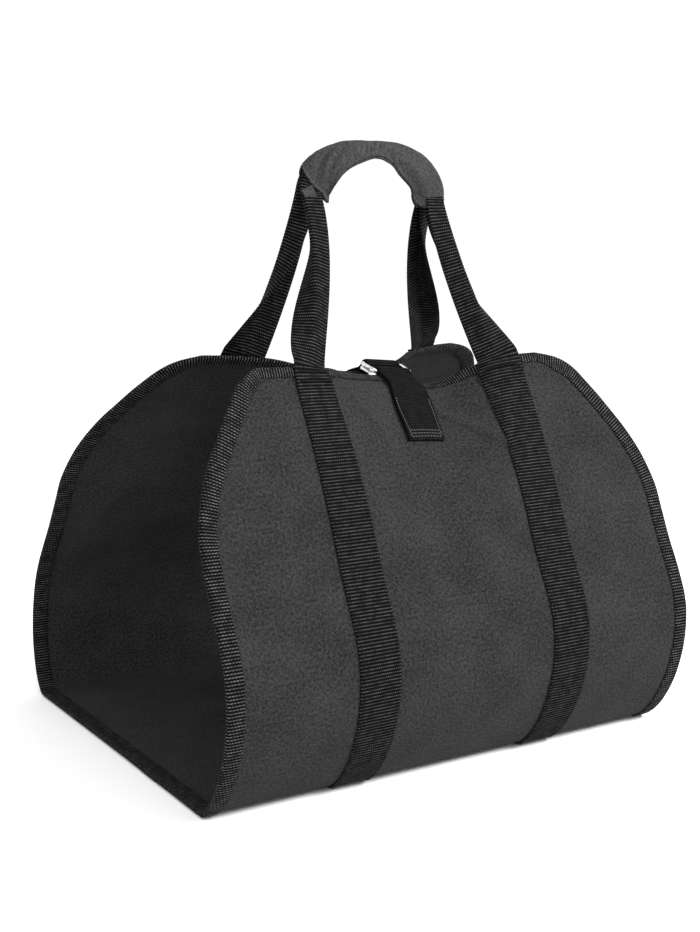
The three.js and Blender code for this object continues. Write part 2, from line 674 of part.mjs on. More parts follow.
const carrier = new THREE.Group();
carrier.add(piece('canvas_panel', canvasPanel(), CANVAS_GREY));
carrier.add(piece('edge_binding', edgeBinding(), BINDING_BLACK));
carrier.add(piece('handle_grip', handleGrip(), GRIP_GREY));
carrier.add(piece('webbing_front', carryingWebbing(-1), WEBBING_BLACK));
carrier.add(piece('webbing_back', carryingWebbing(1), WEBBING_BLACK));
carrier.add(piece('closure_strap_front', closureStrap(-1, CLOSURE_LENGTH, CLOSURE_LENGTH), WEBBING_BLACK));
carrier.add(piece('closure_strap_back', closureStrap(1, CLOSURE_TAIL, CLOSURE_LENGTH), WEBBING_BLACK));
carrier.add(piece('closure_ring_lower', closureRing(-(RING_WIRE + RING_GAP) / 2), RING_SILVER));
carrier.add(piece('closure_ring_upper', closureRing((RING_WIRE + RING_GAP) / 2), RING_SILVER));

export default carrier;
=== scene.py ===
"""Looks of a canvas log carrier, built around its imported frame.

Metres, in the frame's axes: X runs from the left open end to the right one, the front panel faces -Y and the
carrier stands on Z = 0.
"""
import math

import bpy
import numpy as np
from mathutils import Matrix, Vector, noise


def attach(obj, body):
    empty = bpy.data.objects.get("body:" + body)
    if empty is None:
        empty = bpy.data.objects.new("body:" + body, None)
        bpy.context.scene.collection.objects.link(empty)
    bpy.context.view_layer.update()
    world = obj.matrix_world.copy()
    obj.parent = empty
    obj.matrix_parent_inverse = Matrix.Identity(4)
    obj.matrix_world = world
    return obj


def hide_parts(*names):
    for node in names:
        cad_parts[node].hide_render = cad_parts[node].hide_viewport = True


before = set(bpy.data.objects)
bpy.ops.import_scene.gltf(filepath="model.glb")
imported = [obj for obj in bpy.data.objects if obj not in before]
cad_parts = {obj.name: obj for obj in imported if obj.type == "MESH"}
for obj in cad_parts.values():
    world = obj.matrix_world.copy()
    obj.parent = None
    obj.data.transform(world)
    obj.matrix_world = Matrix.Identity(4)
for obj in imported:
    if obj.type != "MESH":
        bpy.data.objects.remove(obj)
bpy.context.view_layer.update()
FRONT, BACK = -1, 1
LEFT, RIGHT = -1, 1

# The sheet
SHEET_WIDTH = 0.455
EDGE_HEIGHT = 0.339
BULGE = {FRONT: 0.197, BACK: 0.218}
CANVAS_THICKNESS = 0.0018
BASE_HEIGHT = 0.00356

# The binding. Its lap joint lies low on the left, at a share of the front panel. It narrows at the top edges.
BINDING_WIDTH = 0.012
BINDING_THICKNESS = 0.0012
BINDING_LIFT = 0.0002
BINDING_RIB = 0.0026
BINDING_RIB_DEPTH = 0.00035
BINDING_ROW = 0.002
BINDING_JOINT_PLACE = -0.1
BINDING_JOINT_LENGTH = 0.022
BINDING_JOINT_EXTRA = 0.0008
BINDING_TOP_NARROWING = 0.45
BINDING_TOP_SHARES = (0.988, 0.999)
CORNER_BLEND = 5

# The webbing. It climbs onto the binding between two distances below the top edge.
WEBBING_WIDTH = 0.038
WEBBING_THICKNESS = 0.0018
WEBBING_RIB = 0.0028
WEBBING_RIB_DEPTH = 0.0005
WEBBING_SPACING = 0.193
WEBBING_LIFT = 0.0021
WEBBING_LIFT_AT_EDGE = 0.0034
WEBBING_CLIMB = (0.021, 0.012)
EDGE_STRAIGHT = 0.0023
FOLD_BEND_LENGTH = 0.005
FOLD_ANGLE = math.radians(178)
# Its free stretches: how late they turn, how they lean and splay at the grip, and how strongly each end leads
LEG_TURN_POWER = 1.6
LEG_LEAN = 1.7
LEG_SPLAY = -1.4
LEG_PULL_LOW = 0.05
LEG_PULL_HIGH = 1.3

# The grip
GRIP_HALF_SPAN = 0.064
GRIP_RISE = 0.0385
GRIP_BASE_HEIGHT = 0.479
GRIP_OFFSET = -0.031
GRIP_ANGLES = (math.radians(4), math.radians(178))
GRIP_LENGTH = math.pi * (GRIP_HALF_SPAN + GRIP_RISE) / 2
GRIP_FLAP = 0.012
GRIP_LEFT_CUT = 0.021
GRIP_CUT_REACH = 0.045
FOLDED_HALF_WIDTH = 0.0095
WEBBING_ACROSS = 0.0086
WEBBING_STACK = 0.00295
WRAP_THICKNESS = 0.0014
WRAP_HALF_HEIGHT = 0.0068
WRAP_REACH = 0.0118

# The closure
CLOSURE_WIDTH = 0.036
CLOSURE_THICKNESS = 0.0016
CLOSURE_RIB = 0.0022
CLOSURE_RIB_DEPTH = 0.0002
CLOSURE_ROW = 0.002
CLOSURE_CLIMB = (0.02, 0.012)
CLOSURE_CENTRE = 0.015
CLOSURE_SKEW = 0.17
CLOSURE_LENGTH = 0.068
CLOSURE_TAIL = 0.020
RING_WIRE = 0.0036
RING_CORNER = 0.0055
RING_STEP = 0.004
RING_SLACK = 0.0012
CORNER_STEPS = 8
WIRE_SIDES = 16
EYE_CLEARANCE = 0.0026
EYE_REACH = 0.0072
EYE_RADIUS = 0.005
EYE_TURN = math.radians(135)
LAYER_STEP = 0.0019
CLOSURE_LIFT = 0.0021
CLOSURE_LIFT_AT_EDGE = 0.0037

HALF_WIDTH = SHEET_WIDTH / 2
WEBBING_X = WEBBING_SPACING / 2
CENTRE_SHIFT = (BULGE[FRONT] - BULGE[BACK]) / 2

# Half of the sheet's section, bottom middle to top edge: (share of the bulge, share of the edge height)
SECTIONS = {
    FRONT: [(0, 0), (0.38, 0), (0.755, 0), (0.94, 0.13), (1, 0.33), (0.846, 0.55), (0.681, 0.78), (0.495, 1)],
    BACK: [(0, 0), (0.46, 0), (0.92, 0), (1, 0.13), (0.946, 0.33), (0.712, 0.55), (0.485, 0.78), (0.162, 1)],
}
# (share of the way to the top edge, half-width as a share of half the sheet's width)
WIDTH_ROWS = [(0, 1), (0.73, 1), (0.8, 0.968), (0.857, 0.911), (0.9, 0.852), (0.95, 0.777)]
ROUND_CORNER = WIDTH_ROWS + [(0.975, 0.728), (0.99, 0.67), (1, 0.585)]
TIGHT_CORNER = WIDTH_ROWS + [(0.98, 0.728), (1, 0.66)]
# Where the closure gathers a top edge: (panel, place across, spread, inward, down)
GATHER_START = 0.72
GATHER_POWER = 1.6
GATHERS = [
    (FRONT, 0, 0.326, 0.121, 0.041),
    (FRONT, 0.2, 0.14, 0.012, 0.042),
    (BACK, 0, 0.326, 0.134, 0.041),
]
# Between the webbing the top edges curl inward
CURL_LENGTH = 0.018
CURL_DEPTH = 0.008
CURL_DROP = 0.003
CURL_START_WIDTH = 0.02
# Folds: (panel, from across, from up, to across, to up, height, width), with the ends in shares of half the
# sheet's width and of the panel's length
FOLDS = [
    (FRONT, 0.13, 0.94, 0.33, 0.86, 0.0035, 0.0128),
    (FRONT, -0.24, 0.93, -0.15, 0.88, 0.003, 0.0128),
    (FRONT, -0.06, 0.84, -0.02, 0.6, -0.005, 0.0224),
    (FRONT, 0.12, 0.945, 0.36, 0.85, 0.0032, 0.0036),
    (FRONT, -0.255, 0.965, -0.16, 0.875, 0.003, 0.0036),
    (FRONT, -0.02, 0.965, -0.06, 0.9, -0.003, 0.005),
]
# The wrap along the grip, left to right: its turn in degrees, and its flap as a share of the widest
GRIP_TURNS = [
    (0, 90), (0.12, 72), (0.26, 38), (0.4, 12), (0.5, 4), (0.58, 22), (0.66, 48), (0.76, 70),
    (0.88, 84), (1, 90),
]
GRIP_FLAPS = [
    (0, 0.8), (0.12, 0.75), (0.26, 0.6), (0.4, 0.35), (0.5, 0.25), (0.58, 0.3), (0.66, 0.45), (0.76, 0.62),
    (0.88, 0.7), (1, 0.7),
]
# Unevenness of the cloth, as layers of noise: (height, waves per metre across, and along, depth in the noise)
SHEET_WAVES = [(0.0011, 16, 11, 0.4), (0.0004, 52, 38, 7.1)]
WRAP_WAVES = [(0.0007, 45, 60, 3.3), (0.0003, 150, 190, 8.2)]
# Shares of a panel between which its unevenness sets in
RELIEF_SHARES = (0.27, 0.45)
# Step of the sheet's directions
FRAME_STEP = 0.0005
# Rows of mesh in a tape's rib, its rounded edge's reach in thicknesses, and its share of thickness there
RIB_ROWS = 3
TAPE_EDGE_REACH = 1.2
TAPE_EDGE_SHARE = 0.35
# A stitch: (share of its length, height in thread radii, size)
STITCH_PROFILE = [(0.0, -0.9, 0.5), (0.18, 0.25, 1.0), (0.82, 0.25, 1.0), (1.0, -0.9, 0.5)]
STITCH_SIDES = 5


def unit(v):
    return v / np.maximum(np.linalg.norm(v, axis=-1, keepdims=True), 1e-12)


def distances_along(points):
    return np.concatenate([[0], np.cumsum(np.linalg.norm(np.diff(points, axis=0), axis=1))])


def read_line(points, distances, place):
    """The values of a line of points at one or more distances along it."""
    return np.stack([np.interp(place, distances, points[:, k]) for k in range(points.shape[1])], -1)


def smooth_step(low, high, value):
    t = np.clip((np.asarray(value, float) - low) / (high - low), 0, 1)
    return t * t * (3 - 2 * t)


def read_table(rows, place):
    """A smooth curve through a table's rows, read at any place along its first column."""
    x, y = np.array(rows, float).T
    slope = np.gradient(y, x)
    slope[1:-1] = (y[2:] - y[:-2]) / (x[2:] - x[:-2])
    i = np.clip(np.searchsorted(x, place) - 1, 0, len(x) - 2)
    step = x[i + 1] - x[i]
    t = (place - x[i]) / step
    h = t * t * (3 - 2 * t)
    rise = t * (1 - t) ** 2 * slope[i] - t * t * (1 - t) * slope[i + 1]
    return y[i] * (1 - h) + y[i + 1] * h + rise * step


def section_line(rows, bulge):
    """A dense smooth line through a section's rows, with the distance along it at each point."""
    knots = np.array(rows, float) * (bulge, EDGE_HEIGHT - BASE_HEIGHT)
    knots = np.vstack([2 * knots[0] - knots[1], knots, 2 * knots[-1] - knots[-2]])
    t = np.linspace(0, 1, 200)[:, None]
    spans = []
    for p0, p1, p2, p3 in zip(knots, knots[1:], knots[2:], knots[3:]):
        d0, d1, d2 = (math.sqrt(np.linalg.norm(b - a)) for a, b in ((p0, p1), (p1, p2), (p2, p3)))
        start = ((p1 - p0) / d0 - (p2 - p0) / (d0 + d1) + (p2 - p1) / d1) * d1
        end = ((p2 - p1) / d1 - (p3 - p1) / (d1 + d2) + (p3 - p2) / d2) * d1
        square = 3 * (p2 - p1) - 2 * start - end
        cube = 2 * (p1 - p2) + start + end
        spans.append(p1 + start * t + square * t**2 + cube * t**3)
    line = np.vstack(spans)
    return line, distances_along(line)


PANELS = {side: section_line(SECTIONS[side], BULGE[side]) for side in (FRONT, BACK)}
LENGTH = {side: PANELS[side][1][-1] for side in (FRONT, BACK)}


def half_width_at(t, hand):
    """How far the sheet reaches to one hand. The front's left corner is the tightest."""
    place = np.abs(t)
    tight = (t < 0) & (np.asarray(hand) < 0)
    return HALF_WIDTH * np.where(tight, read_table(TIGHT_CORNER, place), read_table(ROUND_CORNER, place))


def length_at(t):
    return np.where(np.asarray(t) < 0, LENGTH[FRONT], LENGTH[BACK])


def crease(place, start, end, height, width, fade):
    """The height of a soft crease along a line at each place. A higher fade leaves more of it at its ends."""
    run = end - start
    place = place - start
    t = np.clip(place @ run / (run @ run), 0, 1)
    away = np.linalg.norm(place - t[..., None] * run, axis=-1) / width
    return height * np.exp(-away * away) * np.sin(np.pi * (fade + (1 - 2 * fade) * t))


def uneven(x, y, waves):
    """Smooth noise over a grid of places."""
    total = np.zeros(x.size)
    for height, across, along, depth in waves:
        places = zip(x.ravel() * across, y.ravel() * along)
        total += [height * noise.noise(Vector((a, b, depth))) for a, b in places]
    return total.reshape(x.shape)


def fold_at(side, u, share):
    scale = np.array([HALF_WIDTH, LENGTH[side]])
    place = np.stack([u, share * LENGTH[side]], -1)
    height = np.zeros(u.shape)
    for panel, from_across, from_up, to_across, to_up, rise, width in FOLDS:
        if panel == side:
            start, end = scale * (from_across, from_up), scale * (to_across, to_up)
            height += crease(place, start, end, rise, width, fade=0.15)
    return height


def sheet_point(u, t):
    """The sheet's middle surface. u runs across it, t from -1 at the front top edge to 1 at the back one."""
    u, t = (np.array(v) for v in np.broadcast_arrays(np.asarray(u, float), np.asarray(t, float)))
    out, up = np.zeros(u.shape), np.zeros(u.shape)
    for side in (FRONT, BACK):
        here = t < 0 if side == FRONT else t >= 0
        share = np.abs(t[here])
        line, arc = PANELS[side]
        place = np.clip(share, 0, 1) * LENGTH[side]
        beyond = np.clip(share - 1, 0, None) * LENGTH[side]
        ahead = unit(line[-1] - line[-3])
        o = np.interp(place, arc, line[:, 0]) + beyond * ahead[0]
        z = np.maximum(np.interp(place, arc, line[:, 1]) + beyond * ahead[1], 0)
        rise = np.clip((share - GATHER_START) / (1 - GATHER_START), 0, None) ** GATHER_POWER
        for panel, at, spread, inward, down in GATHERS:
            if panel == side:
                pull = np.exp(-(((u[here] / HALF_WIDTH - at) / spread) ** 2)) * rise * EDGE_HEIGHT
                o -= inward * pull
                z -= down * pull
        beside = np.clip(WEBBING_X - WEBBING_WIDTH / 2 - np.abs(u[here]), 0, None) / CURL_START_WIDTH
        into_curl = np.clip(1 + (share - 1) * LENGTH[side] / CURL_LENGTH, 0, None)
        curl = (1 - np.exp(-beside * beside)) * into_curl**2
        o -= CURL_DEPTH * curl
        z -= CURL_DROP * curl
        out[here] = side * (o + fold_at(side, u[here], share))
        up[here] = z
    return np.stack([u, out + CENTRE_SHIFT, up + BASE_HEIGHT], -1)


def relief(u, t):
    """Small unevenness of the cloth, which everything sewn to it follows. None where the carrier stands."""
    u, s = np.broadcast_arrays(u, t * length_at(t))
    fade = smooth_step(*RELIEF_SHARES, np.abs(np.broadcast_to(t, u.shape)))
    return fade * uneven(u, s, SHEET_WAVES)


def sheet_frame(u, t):
    """The sheet's point and its directions: across, up the panel, and outward."""
    share = FRAME_STEP / length_at(t)
    point = sheet_point(u, t)
    across = unit(sheet_point(u + FRAME_STEP, t) - sheet_point(u - FRAME_STEP, t))
    ahead = unit(sheet_point(u, t + share) - sheet_point(u, t - share))
    side = np.where(np.broadcast_to(t, point.shape[:-1]) < 0, FRONT, BACK)[..., None]
    return point, across, ahead * side, unit(-np.cross(across, ahead))


def off_sheet(u, t, height, reach=0.0):
    """A point at a height off the sheet. Past a top edge, reach goes straight on in line with the panel."""
    point, _, up, outward = sheet_frame(np.asarray(u, float), np.asarray(t, float))
    lift = np.asarray(height, float) + relief(u, t)
    return point + outward * lift[..., None] + up * np.asarray(reach, float)[..., None]


# Mesh building
def new_piece(name, vertices, faces, look, cloth=None):
    """A smooth piece of the scene. cloth is where each vertex lies on the flat cloth, for the looks."""
    mesh = bpy.data.meshes.new(name)
    mesh.from_pydata(np.asarray(vertices, float).tolist(), [], faces)
    mesh.polygons.foreach_set("use_smooth", [True] * len(mesh.polygons))
    if cloth is not None:
        flat = np.zeros((len(vertices), 3))
        flat[:, : cloth.shape[1]] = cloth
        mesh.attributes.new("cloth", "FLOAT_VECTOR", "POINT").data.foreach_set("vector", flat.ravel())
    mesh.materials.append(look)
    mesh.validate()
    piece = bpy.data.objects.new(name, mesh)
    bpy.context.scene.collection.objects.link(piece)
    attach(piece, "root")
    return piece


def grid_faces(rows, columns, first=0, closed_rows=False, closed_columns=False):
    r = np.arange(rows if closed_rows else rows - 1)[:, None]
    c = np.arange(columns if closed_columns else columns - 1)[None, :]
    here, after = r * columns, (r + 1) % rows * columns
    c_next = (c + 1) % columns
    faces = np.stack([here + c, here + c_next, after + c_next, after + c], -1)
    return faces.reshape(-1, 4) + first


def slab(name, top, bottom, cloth, look, closed_rows=False):
    """A closed piece between two grids of points that share rows and columns."""
    rows, columns = top.shape[:2]
    count = rows * columns
    faces = [
        grid_faces(rows, columns, 0, closed_rows),
        grid_faces(rows, columns, count, closed_rows)[:, ::-1],
    ]
    r = np.arange(rows if closed_rows else rows - 1)
    r_next = (r + 1) % rows
    for c, flip in ((0, False), (columns - 1, True)):
        a, b = r * columns + c, r_next * columns + c
        side = np.stack([a, b, b + count, a + count], -1)
        faces.append(side[:, ::-1] if flip else side)
    if not closed_rows:
        c = np.arange(columns - 1)
        for row, flip in ((0, True), (rows - 1, False)):
            a, b = row * columns + c, row * columns + c + 1
            end = np.stack([a, b, b + count, a + count], -1)
            faces.append(end[:, ::-1] if flip else end)
    vertices = np.concatenate([top.reshape(-1, 3), bottom.reshape(-1, 3)])
    faces = np.concatenate(faces)
    corners = vertices[faces]
    centre = corners.mean(1)
    area = np.cross(corners[:, 2] - corners[:, 0], corners[:, 3] - corners[:, 1])
    if (centre * area).sum() < 0:
        faces = faces[:, ::-1]
    flat = np.concatenate([cloth.reshape(-1, 2)] * 2)
    return new_piece(name, vertices, faces.tolist(), look, flat)


def resample(path, spacing, closed=False):
    """The same band with rows at an even spacing along its middle."""
    if closed:
        path = np.concatenate([path, path[:1]])
    arc = distances_along(path[:, path.shape[1] // 2])
    count = max(int(round(arc[-1] / spacing)), 2)
    places = np.linspace(0, arc[-1], count + 1)
    rows = read_line(path.reshape(len(path), -1), arc, places).reshape(len(places), path.shape[1], 3)
    return (rows[:-1], places[:-1]) if closed else (rows, places)


def soften(path, passes, closed=False):
    """Evens out kinks along a band."""
    for _ in range(passes):
        if closed:
            path = 0.5 * path + 0.25 * (np.roll(path, 1, 0) + np.roll(path, -1, 0))
        else:
            path[1:-1] = 0.5 * path[1:-1] + 0.25 * (path[:-2] + path[2:])
    return path


def band_normals(rows, closed=False):
    if closed:
        along = np.roll(rows, -1, 0) - np.roll(rows, 1, 0)
    else:
        along = np.gradient(rows, axis=0)
    return unit(np.cross(np.gradient(rows, axis=1), along))


def ribbon(name, path, thickness, pitch, depth, look, slot_name, closed=False):
    """Woven tape along a band of points, with a rib across it every pitch."""
    rows, places = resample(path, pitch / RIB_ROWS, closed)
    normals = band_normals(rows, closed)
    across = np.linalg.norm(np.diff(rows, axis=1), axis=-1).mean(0)
    across = np.concatenate([[0], np.cumsum(across)])
    edge = np.minimum(across, across[-1] - across) / (TAPE_EDGE_REACH * thickness)
    rounding = np.sqrt(np.clip(1 - (1 - np.clip(edge, 0, 1)) ** 2, 0, 1))
    full = TAPE_EDGE_SHARE + (1 - TAPE_EDGE_SHARE) * rounding
    wave = np.cos(2 * np.pi * places / pitch) / 2
    half = (thickness / 2 + depth * wave[:, None]) * full[None, :]
    cloth = np.stack(np.broadcast_arrays(across[None, :], places[:, None]), -1)
    top, bottom = rows + normals * half[..., None], rows - normals * half[..., None]
    return slab(name, top, bottom, cloth, look, closed)


def stitch_line(line, outward, pitch=0.0036, length=0.0028, thread=0.00032):
    """Vertices and faces of the stitches along a line: short threads that dip in at their ends."""
    arc = distances_along(line)
    rows = len(STITCH_PROFILE)
    turn = np.arange(STITCH_SIDES) * 2 * np.pi / STITCH_SIDES
    vertices, faces = [], []
    for start in np.arange(0.3 * pitch, arc[-1] - length, pitch):
        first = len(vertices)
        for share, lift, size in STITCH_PROFILE:
            place = start + share * length
            point = read_line(line, arc, place)
            ahead = unit(read_line(line, arc, place + 1e-4) - point + 1e-9)
            up = unit(read_line(outward, arc, place))
            sideways = unit(np.cross(ahead, up))
            centre = point + up * lift * thread
            for angle in turn:
                vertices.append(centre + size * thread * (math.cos(angle) * sideways + math.sin(angle) * up))
        faces.extend(grid_faces(rows, STITCH_SIDES, first, closed_columns=True).tolist())
        last = first + (rows - 1) * STITCH_SIDES
        faces.append(list(range(first, first + STITCH_SIDES))[::-1])
        faces.append(list(range(last, last + STITCH_SIDES)))
    return vertices, faces


def stitches(name, lines, look, slot_name, **sizes):
    """One piece of thread for all the stitch lines of a seam. Each line is (points, outward directions)."""
    vertices, faces = [], []
    for line, outward in lines:
        more, more_faces = stitch_line(line, outward, **sizes)
        faces.extend([[i + len(vertices) for i in face] for face in more_faces])
        vertices.extend(more)
    new_piece(name, vertices, faces, look)


# Materials
class Look:
    """A material whose nodes are written as nested calls. A value may be another node's output."""

    def __init__(self, name, **shader):
        self.material = bpy.data.materials.new(name)
        self.material.use_nodes = True
        self.tree = self.material.node_tree
        self.shader = self.tree.nodes["Principled BSDF"]
        self.set(self.shader, shader)

    def set(self, node, values):
        for key, value in values.items():
            socket = node.inputs[key] if isinstance(key, int) else node.inputs[key.replace("_", " ")]
            if isinstance(value, bpy.types.NodeSocket):
                self.tree.links.new(value, socket)
            else:
                socket.default_value = value

    def node(self, kind, output=0, props=(), **values):
        node = self.tree.nodes.new("ShaderNode" + kind)
        for key, value in dict(props).items():
            setattr(node, key, value)
        self.set(node, values)
        return node.outputs[output]

    def math(self, operation, a, b=0.0, c=0.0):
        node = self.tree.nodes.new("ShaderNodeMath")
        node.operation = operation
        self.set(node, {0: a, 1: b, 2: c})
        return node.outputs[0]

    def cloth(self):
        return self.node("Attribute", "Vector", {"attribute_name": "cloth"})

    def object_space(self):
        return self.node("TexCoord", "Object")

    def split(self, vector):
        node = self.tree.nodes.new("ShaderNodeSeparateXYZ")
        self.tree.links.new(vector, node.inputs[0])
        return node.outputs

    def noise(self, vector, scale, detail=3.0, roughness=0.6):
        return self.node("TexNoise", Vector=vector, Scale=scale, Detail=detail, Roughness=roughness)

    def ridges(self, place, pitch):
        """0 to 1 and back once every pitch along a place in metres."""
        turns = self.math("MULTIPLY", place, 2 * math.pi / pitch)
        return self.math("MULTIPLY_ADD", self.math("COSINE", turns), 0.5, 0.5)

    def ramp(self, value, low, high):
        return self.node("MapRange", Value=value, From_Min=low, From_Max=high)

    def mix(self, factor, a, b):
        node = self.tree.nodes.new("ShaderNodeMix")
        node.data_type = "RGBA"
        self.set(node, {0: factor, 6: a, 7: b})
        return node.outputs[2]

    def bump(self, height, distance, strength):
        return self.node("Bump", Height=height, Distance=distance, Strength=strength)


def grey(value, warm=0.0):
    return (value * (1 + warm), value, value * (1 - warm), 1)


# Pitch of the canvas's threads
CANVAS_PITCH = 0.0011


def canvas_look(name, dark, light):
    """Canvas with wide blotches, a fine grain and flecks, between a dark and a light grey."""
    look = Look(name, Roughness=0.9, Sheen_Weight=0.02, Sheen_Roughness=0.6, Specular_IOR_Level=0.05)
    cloth = look.cloth()
    blotch = look.noise(cloth, scale=22, detail=4, roughness=0.62)
    grain = look.noise(cloth, scale=420, detail=3, roughness=0.7)
    fleck = look.noise(cloth, scale=1100, detail=2, roughness=0.6)
    tone = look.math("MULTIPLY_ADD", blotch, 0.22, look.math("MULTIPLY", grain, 0.78))
    tone = look.math("MULTIPLY_ADD", fleck, 0.25, look.math("MULTIPLY", tone, 0.75))
    colour = look.mix(look.ramp(tone, 0.42, 0.6), grey(dark, 0.01), grey(light, 0.01))
    x, y, _ = look.split(cloth)
    weave = look.math("MULTIPLY", look.ridges(x, CANVAS_PITCH), look.ridges(y, CANVAS_PITCH))
    height = look.math("MULTIPLY_ADD", weave, 0.4, grain)
    look.set(look.shader, {"Base_Color": colour, "Normal": look.bump(height, 0.0006, 0.5)})
    return look.material


def tape_look(name, dark, light, rib, warp, twill=0.0):
    """Ribbed tape in its dark colour, with painted highlights in the light colour on its rib crests. rib and
    warp are pitches, and twill slants the threads.
    """
    look = Look(name, Roughness=0.7, Specular_IOR_Level=0.03)
    cloth = look.cloth()
    x, y, _ = look.split(cloth)
    ribs = look.ridges(y, rib)
    slanting = look.math("MULTIPLY_ADD", y, twill, x)
    ends = look.ridges(look.math("MULTIPLY_ADD", look.noise(cloth, 90, 2), 0.0006, slanting), warp)
    patch = look.ramp(look.noise(cloth, 130, 3, 0.7), 0.4, 0.62)
    # Painted highlights: the narrow rib crests are painted light, as if lamp light caught them, broken up by
    # the warp ends and by patches.
    rib_highlights = look.math("MULTIPLY", look.math("POWER", ribs, 4), look.math("MULTIPLY_ADD", ends, 0.75, 0.25))
    tone = look.math("MULTIPLY", rib_highlights, look.math("MULTIPLY_ADD", patch, 0.65, 0.35))
    colour = look.mix(tone, grey(dark), grey(light))
    height = look.math("MULTIPLY", look.math("MULTIPLY_ADD", ends, 0.4, 0.6), ribs)
    look.set(look.shader, {"Base_Color": colour, "Normal": look.bump(height, 0.0004, 0.7)})
    return look.material


def thread_look(name, tone):
    look = Look(name, Roughness=0.7, Specular_IOR_Level=0.1)
    place = look.object_space()
    colour = look.mix(look.noise(place, 900, 2), grey(tone * 0.6), grey(tone * 1.5))
    look.set(look.shader, {"Base_Color": colour})
    return look.material


def metal_look(name):
    look = Look(name, Metallic=1.0, Roughness=0.16)
    place = look.object_space()
    tone = look.noise(place, 160, 4, 0.6)
    colour = look.mix(tone, (0.72, 0.72, 0.7, 1), (0.9, 0.9, 0.89, 1))
    rough = look.node("MapRange", Value=look.noise(place, 600, 3), To_Min=0.1, To_Max=0.28)
    look.set(look.shader, {"Base_Color": colour, "Roughness": rough})
    return look.material


CANVAS = canvas_look("canvas_cloth", dark=0.006, light=0.026)
GRIP_CANVAS = canvas_look("grip_cloth", dark=0.013, light=0.042)
# Each tape's light value is the colour of painted highlights on its rib crests; its dark value is the tape's
# own colour.
WEBBING = tape_look("webbing_weave_painted_highlights", dark=0.0008, light=0.068, rib=WEBBING_RIB, warp=0.0019, twill=0.35)
BINDING = tape_look("binding_weave_painted_highlights", dark=0.0008, light=0.12, rib=BINDING_RIB, warp=0.0026, twill=0.7)
CLOSURE = tape_look("closure_weave_painted_highlights", dark=0.0015, light=0.024, rib=CLOSURE_RIB, warp=0.0015)
THREAD = thread_look("black_thread", tone=0.004)
GREY_THREAD = thread_look("grey_thread", tone=0.08)
METAL = metal_look("polished_wire")


# The sheet
CANVAS_ROWS = 281
CANVAS_COLUMNS = 141
# The rows stand closest at the creased top of the front: shares of the rows, and where they lie
CANVAS_ROW_PLACES = ((0, 0.32, 0.8, 1), (-1, -0.76, 0.76, 1))


def canvas_sheet():
    t = np.interp(np.linspace(0, 1, CANVAS_ROWS), *CANVAS_ROW_PLACES)[:, None]
    across = np.linspace(-1, 1, CANVAS_COLUMNS)[None, :]
    u = half_width_at(t, across) * across
    t = np.broadcast_to(t, u.shape)
    outer, inner = (off_sheet(u, t, side * CANVAS_THICKNESS / 2) for side in (1, -1))
    cloth = np.stack([u, t * length_at(t)], -1)
    piece = slab("canvas_sheet", outer, inner, cloth, CANVAS)
    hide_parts("canvas_panel")
    return piece


# The binding
SIDE_STEPS = 900
TOP_STEPS = 260


def binding_outline():
    """Places round the sheet's edge, as (u, distance from the bottom middle along the front or back)."""
    t = np.linspace(-1, 1, SIDE_STEPS)
    to_left, to_right = half_width_at(t, LEFT), half_width_at(t, RIGHT)
    s = t * length_at(t)
    top = np.linspace(-1, 1, TOP_STEPS)[1:-1]
    right = np.stack([to_right, s], -1)
    back = np.stack([-top * half_width_at(1.0, -top), np.full(len(top), s[-1])], -1)
    left = np.stack([-to_left, s], -1)[::-1]
    front = np.stack([top * half_width_at(-1.0, top), np.full(len(top), s[0])], -1)
    return np.concatenate([right, back, left, front])


def even_loop(points, spacing):
    closed = np.concatenate([points, points[:1]])
    arc = distances_along(closed)
    places = np.linspace(0, arc[-1], int(arc[-1] / spacing))[:-1]
    return read_line(closed, arc, places)


# The binding's section: places across its flat faces in shares of its width, and round the edge in degrees
BINDING_FLAT = (-1.0, -0.8, -0.55, -0.3, -0.1)
BINDING_ROUND = (60, 20, -20, -60)


def binding_band():
    """The tape's middle surface, folded over the sheet's edge from its outside to its inside."""
    outline = even_loop(binding_outline(), BINDING_ROW)
    along = unit(np.roll(outline, -1, 0) - np.roll(outline, 1, 0))
    for _ in range(CORNER_BLEND):
        along = unit(along + np.roll(along, 1, 0) + np.roll(along, -1, 0))
    outward = np.stack([along[:, 1], -along[:, 0]], -1)
    u, s = outline.T
    t = s / length_at(s)
    joint_at = BINDING_JOINT_PLACE * LENGTH[FRONT]
    joint = np.where(u < 0, np.exp(-(((s - joint_at) / BINDING_JOINT_LENGTH) ** 2)), 0)
    lift = CANVAS_THICKNESS / 2 + BINDING_LIFT + BINDING_THICKNESS / 2 + joint * BINDING_JOINT_EXTRA / 2
    point, across, up, normal = sheet_frame(u, t)
    side = np.where(t < 0, FRONT, BACK)
    over = across * outward[:, :1] + up * (side * outward[:, 1])[:, None]
    over = unit(over - normal * (over * normal).sum(-1, keepdims=True))
    wobble = relief(u, t)
    width = BINDING_WIDTH * (1 - BINDING_TOP_NARROWING * smooth_step(*BINDING_TOP_SHARES, np.abs(t)))

    def flat_column(share, face):
        reach = share * width
        here = np.clip((s + reach * outward[:, 1]) / length_at(s), -1, 1)
        return off_sheet(u + reach * outward[:, 0], here, face * lift)

    def round_column(angle):
        beyond = lift * math.cos(angle) + BINDING_LIFT
        return point + over * beyond[:, None] + normal * (wobble + lift * math.sin(angle))[:, None]

    outside = [flat_column(share, 1) for share in BINDING_FLAT]
    edge = [round_column(math.radians(angle)) for angle in BINDING_ROUND]
    inside = [flat_column(share, -1) for share in BINDING_FLAT[::-1]]
    return np.stack(outside + edge + inside, 1)


def edge_binding():
    path = binding_band()
    shape = (BINDING_THICKNESS, BINDING_RIB, BINDING_RIB_DEPTH)
    piece = ribbon("binding_tape", path, *shape, BINDING, "binding", closed=True)
    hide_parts("edge_binding")
    return piece


